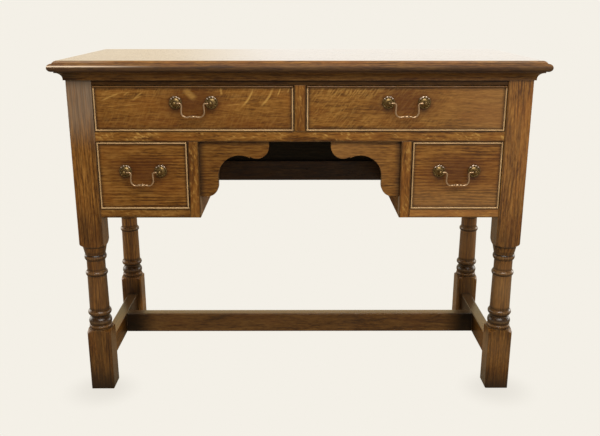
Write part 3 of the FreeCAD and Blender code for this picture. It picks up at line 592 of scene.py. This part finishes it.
# Bands round a leg, each with its height, its reach and its strength: painted light low down, dirt and
# painted shade in the grooves of the turning, and painted highlights on its crests
LOW_LIGHTENING = {"left": [(0.25, 0.1, 0.1)], "right": [(0.25, 0.1, 0.32), (0.1, 0.06, 0.14)]}
TURNED_DIRT_AND_SHADE = [(0.350, 0.004, 0.75), (0.335, 0.004, 0.45), (0.3292, 0.0035, 0.95), (0.324, 0.01, 0.3),
               (0.3185, 0.003, 0.85), (0.2945, 0.004, 0.5), (0.286, 0.01, 0.3), (0.2825, 0.004, 0.9),
               (0.198, 0.007, 0.65), (0.1835, 0.006, 1.0), (0.174, 0.032, 0.75), (0.163, 0.0035, 0.9),
               (0.1512, 0.003, 0.65)]
TURNED_HIGHLIGHTS = [(0.3245, 0.0024, 0.14), (0.288, 0.0026, 0.14), (0.192, 0.0026, 0.12), (0.168, 0.003, 0.12),
               (0.157, 0.002, 0.1)]

# Darkening on a leg that deepens downwards, from and to a height: low on it, as painted shade, on its foot
# and below its head
LOW_LEG, FOOT, BELOW_HEAD = (0.2, 0.0), (0.07, 0.0), (0.47, 0.37)

# Between which heights the turning's sides are darkened as painted shade, and the painted sheen and painted
# shade up the front left leg's head
SHADED_TURNING = (0.16, 0.35)
HEAD_SHEEN, HEAD_SHADE = (0.56, 0.66), (0.695, 0.737)

# Darkening towards the back of the side stretchers and at the cross stretcher's ends, painted shadow at the
# cove's left end, and where the polish of the cross stretcher rises from its front to its back
STRETCHER_DARKENING, CROSS_ENDS, COVE_END_SHADOW = (-0.1, 0.04), (0.36, 0.43), (-0.45, -0.48)
CROSS_SHINE = (0.018, 0.038)

# Planed oak that has never been polished
PLANED = {"worn": 0.1, "gloss": 0.6, "polish": 0.3}

# The top: painted shade under its nose, and painted shade, highlight and sheen on its moulded edge
dress_board("top_board", FLAT, OAK, gloss=0.1, polish=0.5, coat_bend=1.8, worn=0.3,
            extras=[graded_cover("z", *[TOP_FACE - depth for depth in NOSE_SHADE], 0.55), moulded_edge])
# The top rail, under the cove, is darkened partly as painted shade
dress_board("top_rail", LEVEL, deepen(OAK, 0.27), dirty=1.0, polish=0.2)
dress_board("middle_rail", LEVEL, deepen(OAK, 1.04), extras=[flakes(0.85), joint_edges("middle_rail", "z")])
dress_board("drawer_divider", UPRIGHT, deepen(OAK, 0.95),
            extras=[flakes(0.5), joint_edges("drawer_divider", "x")])
for side in ("left", "right"):
    dress_board(f"{side}_stile", UPRIGHT, deepen(OAK, STILE_SHADE[side]),
                extras=[flakes(0.5), joint_edges(f"{side}_stile", "x")])
    # The right bottom rail and apron take a painted sheen
    dress_board(f"{side}_bottom_rail", LEVEL, deepen(OAK, RAIL_SHADE[side]),
                extras=[flakes(0.4), *RAIL_SHEEN[side], joint_edges(f"{side}_bottom_rail", "z")])
    stile_low, stile_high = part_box(f"{side}_stile")
    stile_edge = stile_high.x if side == "left" else stile_low.x
    # The apron stands back from its stile: painted shadow of the stile along that joint
    apron_shadow = joint_dirt_and_shade("x", [stile_edge], APRON_JOINT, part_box(f"{side}_apron")[0].y)
    dress_board(f"{side}_apron", LEVEL, deepen(OAK, APRON_SHADE[side]), sawn=QUARTER_SAWN, rings=0.1,
                extras=[*APRON_SHEEN[side], apron_shadow])
    dress_board(f"{side}_side_panel", INWARD, OAK)
    # The kneehole walls: a painted sheen laid over their polish
    dress_board(f"{side}_kneehole_panel", INWARD, deepen(OAK, WALL_SHADE[side]), gloss=0.6,
                polish=WALL_POLISH[side], dirty=0.2, extras=[painted_sheen(WALL_SHEEN[side])])
    dress_board(f"{side}_stretcher", INWARD, deepen(OAK, 0.75), reach=0.05, dirty=1.0, polish=0.05,
                coat_bend=1.6, coat_gloss=0.25,
                extras=[graded_cover("y", *STRETCHER_DARKENING, 0.85), glossy_top(STRETCHER_TOP, TOP_SHINE[side])])
    for end in ("front", "rear"):
        low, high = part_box(f"{end}_{side}_leg")
        middle_x = (low.x + high.x) / 2
        inner, inward = (low.x, -1) if side == "right" else (high.x, 1)
        # A leg's marks: dark grain, painted shade low on it, darkening on its foot and below its head,
        # painted light low down, dirt and painted shade in its grooves, painted highlights on its crests,
        # and painted shade on the sides of its turning
        marks = [dark_streaks(0.5), graded_cover("z", *LOW_LEG, LOW_LEG_SHADE[side]), graded_cover("z", *FOOT, 0.8),
                 graded_cover("z", *BELOW_HEAD, 0.35), bands("z", LOW_LIGHTENING[side], PAINTED_SHEEN_TAN),
                 bands("z", TURNED_DIRT_AND_SHADE, GRIME_AND_SHADE), bands("z", TURNED_HIGHLIGHTS, CREST),
                 shaded_sides(middle_x, *SHADED_TURNING, 0.5)]
        if end == "rear":
            marks.append(blotch(middle_x + inward * REAR_IN, REAR_UP, *REAR_HALVES, REAR_DIRT_AND_SHADE[side], GRIME_AND_SHADE))
        else:
            marks.append(joint_dirt_and_shade("x", [inner], LEG_JOINT, low.y))
        # The head of the front left leg takes a painted sheen and, at its top under the cove, painted shade
        if (end, side) == ("front", "left"):
            marks += [leg_sheen(*HEAD_SHEEN, 0.8), dark_streaks(0.22), graded_cover("z", *HEAD_SHADE, 0.75, PAINTED_SHADE_GREY)]
        dress_board(f"{end}_{side}_leg", UPRIGHT, deepen(OAK, LEG_SHADE[end, side]), extras=marks,
                    rings=0.1, sawn=RIFT_SAWN, polish=0.42, edge=0.0024)
# The cross stretcher: a thin painted sheen over it, and both ends darkened to black
dress_board("cross_stretcher", LEVEL, deepen(OAK, 0.5), reach=0.05, dirty=1.0, polish=0.25, coat_bend=1.6,
            coat_gloss=0.2, extras=[painted_sheen(0.07), blackened_ends(*CROSS_ENDS, 0.95),
                                    glossy_top(STRETCHER_TOP, 0.7, *CROSS_SHINE)])
# The cove is darkened partly as painted shade under the top's nose, with a painted shadow at its left end
dress_board("cove_moulding", LEVEL, deepen(OAK, 0.63), extras=[graded_cover("x", *COVE_END_SHADOW, 0.55)])
# The kneehole's back bottom rail is darkened partly as painted shade
dress_board("back_bottom_rail", LEVEL, deepen(OAK, 0.22), dirty=0.5)
dress_board("back_top_rail", LEVEL, deepen(OAK, 0.5))
dress_board("back_middle_rail", LEVEL, deepen(OAK, 0.5))
# The back board in the kneehole is dark partly as painted shade
dress_board("back_panel", LEVEL, SHADED_BOARD, worn=0.1, gloss=0.6, polish=0.2)
dress_board("drawer_runners", INWARD, BARE_OAK, **PLANED)

# Drawers

# Stains, painted sheen on the two right-hand fronts, and fine ray flecks on the fronts
STAINS_AND_SHEEN = {
    "upper_left": [graded_cover("z", 0.67, 0.625, 0.3, RED_STAIN),
                   ray_rain(0.5, 0.0030, 0.013, 0.24, (-0.44, 0.1), DRAWER_TOP)],
    "upper_right": [graded_cover("x", 0.22, 0.42, 0.2, PAINTED_SHEEN_TAN),
                    ray_rain(0.75, 0.0032, 0.012, 0.5, (0.01, 0.38), DRAWER_TOP)],
    "lower_right": [graded_cover("z", 0.52, 0.44, 0.3, PAINTED_SHEEN_TAN)],
}

# How each front is sawn, how much its rings show, and how light it is
FIGURE = {
    "upper_left": (FLAT_SAWN, 0.04, 0.99), "upper_right": (FLAT_SAWN, 0.04, 0.94),
    "lower_left": (QUARTER_SAWN, 0.15, 0.93), "lower_right": (QUARTER_SAWN, 0.13, 1.0),
}

# Broad ray flecks, one by one
RAYS = {
    "upper_left": [ray_strokes([
        ((-0.425, 0.675), (-0.370, 0.698), 0.0048, 0.0010, 0.6),
        ((-0.356, 0.676), (-0.326, 0.700), 0.0048, 0.0012, 0.6),
        ((-0.374, 0.688), (-0.357, 0.699), 0.0045, 0.0000, 0.5),
        ((-0.358, 0.678), (-0.330, 0.689), 0.0045, 0.0008, 0.5),
        ((-0.380, 0.666), (-0.330, 0.673), 0.0040, 0.0000, 0.4),
        ((-0.126, 0.662), (-0.096, 0.714), 0.0060, -0.0050, 0.8),
        ((-0.088, 0.662), (-0.054, 0.714), 0.0065, -0.0055, 0.8),
        ((-0.050, 0.686), (-0.040, 0.712), 0.0045, -0.0020, 0.75),
        ((-0.028, 0.692), (-0.021, 0.712), 0.0040, -0.0010, 0.6),
        ((-0.217, 0.680), (-0.246, 0.709), 0.0200, 0.0030, 0.5),
        ((-0.164, 0.688), (-0.167, 0.710), 0.0070, 0.0010, 0.6),
        ((-0.160, 0.668), (-0.118, 0.671), 0.0040, 0.0000, 0.4)])],
}

# Round a handle, as half width, half height and strength: old stain, and a painted shadow a little below
# each rosette
HANDLE_STAIN, ROSETTE_SHADOW, SHADOW_DROP = (0.1, 0.052, 0.8), (0.023, 0.023, 0.6), 0.003


def bead_finish(name):
    """Oak for the four strips of a cock bead, each with its grain along it and a crest rubbed pale, partly
    a painted highlight.
    """
    low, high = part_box(f"{name}_cock_bead")
    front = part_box(f"{name}_drawer_front")[0].y
    material, nodes = finish(f"oak_{name}_cock_bead")
    x, y, z = nodes.place()
    inner_edge = (high.x - low.x) / 2 - BEAD_WIDTH
    upright = abs(x - (low.x + high.x) / 2).step(inner_edge - MITRE_BLUR[0], inner_edge + MITRE_BLUR[1])
    wood = Wood(nodes, x + upright * (z - x), z + upright * (x - z), y)
    patches = nodes.noise(nodes.vector(x * 24.0, 1.0, z * 24.0), 3.0)
    # The upper strip of an upper drawer, in the shade of the top, is darkened as painted shade
    top_strip = z.step(*[DRAWER_TOP - depth for depth in TOP_STRIP])
    crest = (front - y).step(0.0005, 0.002) * (0.35 + 0.9 * patches) * (1.0 - 0.93 * top_strip)
    # The lowest strip is lightened as painted light, more on the lower drawers
    bottom_strip = (low.z + LOW_STRIP - z).step(0.0, LOW_BLUR)
    crest = crest * (1.0 + (0.8 if "lower" in name else 0.1) * bottom_strip)
    colour = nodes.blend(crest, deepen(OAK, 0.6)[1], CREST)
    colour = nodes.blend(0.4 * wood.pores, colour, OAK[0])
    normal = nodes.bump(0.4 * wood.fibre - wood.pores, 0.15, 0.0004)
    surface(nodes, Base_Color=colour, Roughness=0.24 + 0.15 * wood.mottle, Normal=normal,
            Specular_IOR_Level=0.35)
    return material


for name in DRAWERS:
    middle_x, middle_z = handle_place(name)
    marks = STAINS_AND_SHEEN.get(name, []) + [blotch(middle_x, middle_z, *HANDLE_STAIN, RED_STAIN)]
    marks += RAYS.get(name, [])
    # A painted shadow a little below each rosette
    for end in (-1, 1):
        post_x = middle_x + end * POST_SPAN / 2
        marks.append(blotch(post_x, middle_z - SHADOW_DROP, *ROSETTE_SHADOW, GRIME_AND_SHADE))
    low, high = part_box(f"{name}_drawer_front")
    # Dirt and painted shade just inside the cock bead
    for axis in "xz":
        edges = [getattr(low, axis) + BEAD_WIDTH, getattr(high, axis) - BEAD_WIDTH]
        marks.append(joint_dirt_and_shade(axis, edges, BEAD_JOINT, low.y))
    sawn, rings, shade = FIGURE[name]
    dress_board(f"{name}_drawer_front", LEVEL, deepen(OAK, shade), sawn=sawn, rings=rings, extras=marks,
                reach=0.014, dirty=1.0)
    for piece, grain in (("left_side", INWARD), ("right_side", INWARD), ("back", LEVEL), ("bottom", FLAT)):
        dress_board(f"{name}_drawer_{piece}", grain, BARE_OAK, **PLANED)
    dress(f"{name}_cock_bead", bead_finish(name))


# Brass handles and steel screws

def upper_beads(name, x, y, z):
    """1 on the crowns of the beads that stand on the upper rim of a rosette, where the painted highlights
    go.
    """
    middle_x, middle_z = handle_place(name)
    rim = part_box(f"{name}_drawer_front")[0].y - ROSETTE_EDGE
    right, up = abs(x - middle_x) - POST_SPAN / 2, z - middle_z
    outer = ((right * right + up * up) ** 0.5).step(*HIGHLIGHT_RADIUS)
    crowns = (0.0 - (up.angle_from(right) * BEADS).cosine()).step(0.1, 0.85)
    return outer * (0.1 + 0.9 * crowns) * up.step(*HIGHLIGHT_UP) * (rim - y).step(*HIGHLIGHT_OUT)


def post_finish(name):
    """Dark cast brass, tarnished in its hollows, with painted highlights on the beads of its upper rim."""
    material, nodes = finish(f"brass_{name}_posts")
    x, y, z = nodes.place()
    cloud = nodes.cloud(240.0, 0.6)
    dull = (nodes.recesses(0.005, True) * 0.9 + cloud.step(0.42, 0.7) * 0.5).step(0.0, 1.0)
    colour = nodes.blend(upper_beads(name, x, y, z), nodes.blend(dull, POST_BRASS, TARNISH), BRASS_HIGHLIGHT)
    normal = nodes.bump(cloud, 0.2, 0.0004)
    surface(nodes, Base_Color=colour, Metallic=0.85, Roughness=0.4 + 0.15 * dull, Normal=normal,
            Coat_Weight=0.2, Coat_Roughness=0.15)
    return material


def bail_finish(name):
    """Brass that hands keep bright."""
    material, nodes = finish(f"brass_{name}_bail")
    cloud = nodes.cloud(260.0, 0.6)
    dull = (nodes.recesses(0.004, True) * 0.6 + cloud.step(0.45, 0.75) * 0.5).step(0.0, 1.0)
    colour = nodes.blend(0.7 * dull, BAIL_BRASS, TARNISH)
    normal = nodes.bump(cloud, 0.3, 0.0004)
    surface(nodes, Base_Color=colour, Metallic=0.75, Roughness=0.34 + 0.15 * dull, Normal=normal)
    return material


def steel_finish():
    """Dull steel, for the screws."""
    material, nodes = finish("dull_steel")
    cloud = nodes.cloud(300.0)
    colour = nodes.blend(cloud.step(0.4, 0.7), STEEL, GRIME_AND_SHADE)
    surface(nodes, Base_Color=colour, Metallic=1.0, Roughness=0.35 + 0.3 * cloud)
    return material


def rosette_beads(name, brass):
    """A ring of flat beads on the rim of both rosettes of a handle."""
    middle_x, middle_z = handle_place(name)
    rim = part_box(f"{name}_drawer_front")[0].y - ROSETTE_EDGE
    flatten = Matrix.Diagonal((1.0, BEAD_FLATNESS, 1.0, 1.0))
    shape = bmesh.new()
    for side in (-1, 1):
        for number in range(BEADS):
            angle = 2.0 * math.pi * (number + 0.5) / BEADS
            middle = Vector((middle_x + side * POST_SPAN / 2 + BEAD_CIRCLE * math.cos(angle), rim,
                             middle_z + BEAD_CIRCLE * math.sin(angle)))
            bmesh.ops.create_uvsphere(shape, u_segments=14, v_segments=8, radius=BEAD_RADIUS,
                                      matrix=Matrix.Translation(middle) @ flatten)
    for face in shape.faces:
        face.smooth = True
    mesh = bpy.data.meshes.new(f"{name}_rosette_beads")
    shape.to_mesh(mesh)
    shape.free()
    mesh.materials.append(brass)
    beads = bpy.data.objects.new(mesh.name, mesh)
    bpy.context.scene.collection.objects.link(beads)
    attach(beads, f"{name}_drawer")


for name in DRAWERS:
    brass = post_finish(name)
    dress(f"{name}_handle_posts", brass)
    rosette_beads(name, brass)
    dress(f"{name}_handle_bail", bail_finish(name))
dress("top_screws", steel_finish())


# Eased arrises on the flat boards: their width, how close points are one point, and the bends in degrees
# that still count as flat and that count as an edge
EASE_WIDTH, SAME_POINT = 0.0006, 0.00001
FLAT_BEND, EDGE_BEND = 0.5, 40


def ease(name):
    """Takes the sharpness off a board's edges."""
    board = parts[name]
    weld = board.modifiers.new("weld", "WELD")
    weld.merge_threshold = SAME_POINT
    flat = board.modifiers.new("flat", "DECIMATE")
    flat.decimate_type = "DISSOLVE"
    flat.angle_limit = math.radians(FLAT_BEND)
    bevel = board.modifiers.new("ease", "BEVEL")
    bevel.width = EASE_WIDTH
    bevel.segments = 2
    bevel.limit_method = "ANGLE"
    bevel.angle_limit = math.radians(EDGE_BEND)
    bevel.harden_normals = True


for name in ("top_rail", "middle_rail", "drawer_divider", "left_stile", "right_stile", "left_bottom_rail",
             "right_bottom_rail", "left_apron", "right_apron", "left_side_panel", "right_side_panel",
             "left_kneehole_panel", "right_kneehole_panel", "back_bottom_rail"):
    ease(name)


# Floor, light and camera

FLOOR_MIDDLE, FLOOR_SIZE = (0.0, 1.2), (7.0, 5.6)

# Shade on the floor by a front foot: where it is darkest, how dark, and how far it reaches
SHADE_FRONT, FOOT_SHADE, SHADE_REACH = 0.19, 0.16, (0.015, 0.105)

# The camera as solved from the straight edges in the photograph: lens and sensor in millimetres, the place,
# and the angles in radians
LENS, SENSOR = 44.142, 36.0
CAMERA_PLACE = (-0.00622, -1.74809, 0.87155)
CAMERA_TURN, CAMERA_TILT, CAMERA_ROLL = -0.004065, 0.28135, 0.000538


def seen_rays(nodes):
    """Whether the camera sees the surface, itself or through glass, and whether polish mirrors it."""
    camera, glossy, clear = [nodes.add("ShaderNodeLightPath", output=f"Is {kind} Ray")
                             for kind in ("Camera", "Glossy", "Transmission")]
    return camera.highest(clear), glossy


def floor():
    """A pale sheet that the eye sees without shadows, apart from the shade by the front feet."""
    bpy.ops.mesh.primitive_grid_add(x_subdivisions=8, y_subdivisions=8, size=1.0,
                                    location=(*FLOOR_MIDDLE, 0.0))
    sheet = bpy.context.object
    sheet.name = "floor"
    sheet.scale = (*FLOOR_SIZE, 1.0)
    material, nodes = finish("pale_floor")
    x, y = nodes.place()[:2]
    by_foot = abs(x * FLOOR_SIZE[0] + FLOOR_MIDDLE[0]) - LEG_MIDDLE
    before_foot = y * FLOOR_SIZE[1] + FLOOR_MIDDLE[1] + SHADE_FRONT
    to_foot = (by_foot * by_foot + before_foot * before_foot) ** 0.5
    shade = FOOT_SHADE * (1.0 - to_foot.step(*SHADE_REACH))
    seen, glossy = seen_rays(nodes)
    lit = nodes.add("ShaderNodeBsdfDiffuse", None, {"Color": FLOOR_LIT})
    plain = nodes.add("ShaderNodeEmission", None, {"Color": CREAM, "Strength": 1.0})
    warm = nodes.add("ShaderNodeEmission", None, {"Color": FLOOR_TAN, "Strength": FLOOR_GLOW})
    mirrored = nodes.mix_shaders(glossy * FLOOR_IN_POLISH, lit, warm)
    nodes.add("ShaderNodeOutputMaterial", None,
              {"Surface": nodes.mix_shaders(seen * (1.0 - shade), mirrored, plain)})
    sheet.data.materials.append(material)


def studio():
    """A pale room for the eye, a dim one for the light, and a pale back and horizon in the polish."""
    world = bpy.data.worlds.new("studio")
    bpy.context.scene.world = world
    world.use_nodes = True
    nodes = Nodes(world.node_tree)
    right, back, up = nodes.split(nodes.add("ShaderNodeTexCoord", output="Generated"))
    horizon = up.step(-0.06, 0.06) * (1.0 - up.step(0.15, 0.45))
    low_right = 0.8 * right.step(0.02, 0.25) * up.step(-0.5, -0.3) * (1.0 - up.step(0.1, 0.3))
    behind = back.step(0.1, 0.5) * (1.0 - up.step(0.5, 0.9))
    mirrored = (0.75 * horizon).highest(low_right).highest(behind)
    seen, glossy = seen_rays(nodes)
    shades = ((CREAM, 1.0), (CREAM, AMBIENT), (CREAM, DIM), (WARM_WHITE, 1.0), (TAN, 1.0), (HONEY, 1.0))
    plain, ambient, dark, bright, tan, honey = [
        nodes.add("ShaderNodeBackground", None, {"Color": colour, "Strength": strength})
        for colour, strength in shades]
    wall = nodes.mix_shaders(right.step(0.0, -0.2), bright, tan)
    polish = nodes.mix_shaders(mirrored, dark, nodes.mix_shaders(up.step(0.16, 0.34), wall, honey))
    sky = nodes.mix_shaders(seen, nodes.mix_shaders(glossy, ambient, polish), plain)
    nodes.add("ShaderNodeOutputWorld", None, {"Surface": sky})


def softbox(name, place, aim, size, watts):
    """A rectangle of warm light at a place, turned to its aim."""
    lamp = bpy.data.lights.new(name, "AREA")
    lamp.shape = "RECTANGLE"
    lamp.size, lamp.size_y = size
    lamp.energy = watts
    lamp.color = LAMP_COLOUR
    box = bpy.data.objects.new(name, lamp)
    box.location = place
    box.rotation_euler = (Vector(aim) - Vector(place)).to_track_quat("-Z", "Y").to_euler()
    bpy.context.scene.collection.objects.link(box)


def photo_camera():
    """The camera of the photograph: rolled on its axis, tilted down from level, and turned."""
    data = bpy.data.cameras.new("camera")
    data.lens = LENS
    data.sensor_width = SENSOR
    camera = bpy.data.objects.new("camera", data)
    turn = Matrix.Rotation(CAMERA_TURN, 4, "Z")
    tilt = Matrix.Rotation(math.pi / 2 - CAMERA_TILT, 4, "X")
    roll = Matrix.Rotation(CAMERA_ROLL, 4, "Z")
    camera.matrix_world = Matrix.Translation(CAMERA_PLACE) @ turn @ tilt @ roll
    bpy.context.scene.collection.objects.link(camera)
    bpy.context.scene.camera = camera


floor()
studio()

# Softboxes: the place, the aim, the width and height, and the watts
softbox("key", (0.3, -2.0, 2.3), (0.0, 0.0, 0.5), (1.6, 1.1), 50.0)
softbox("left", (-2.2, 0.9, 0.7), (0.0, 0.1, 0.35), (1.2, 1.2), 22.0)
softbox("right", (2.2, 0.9, 0.7), (0.0, 0.1, 0.35), (1.2, 1.2), 22.0)
softbox("overhead", (0.0, 0.25, 2.3), (0.0, 0.1, 0.7), (2.0, 1.0), 14.0)
photo_camera()
bpy.context.scene.view_settings.view_transform = "Standard"
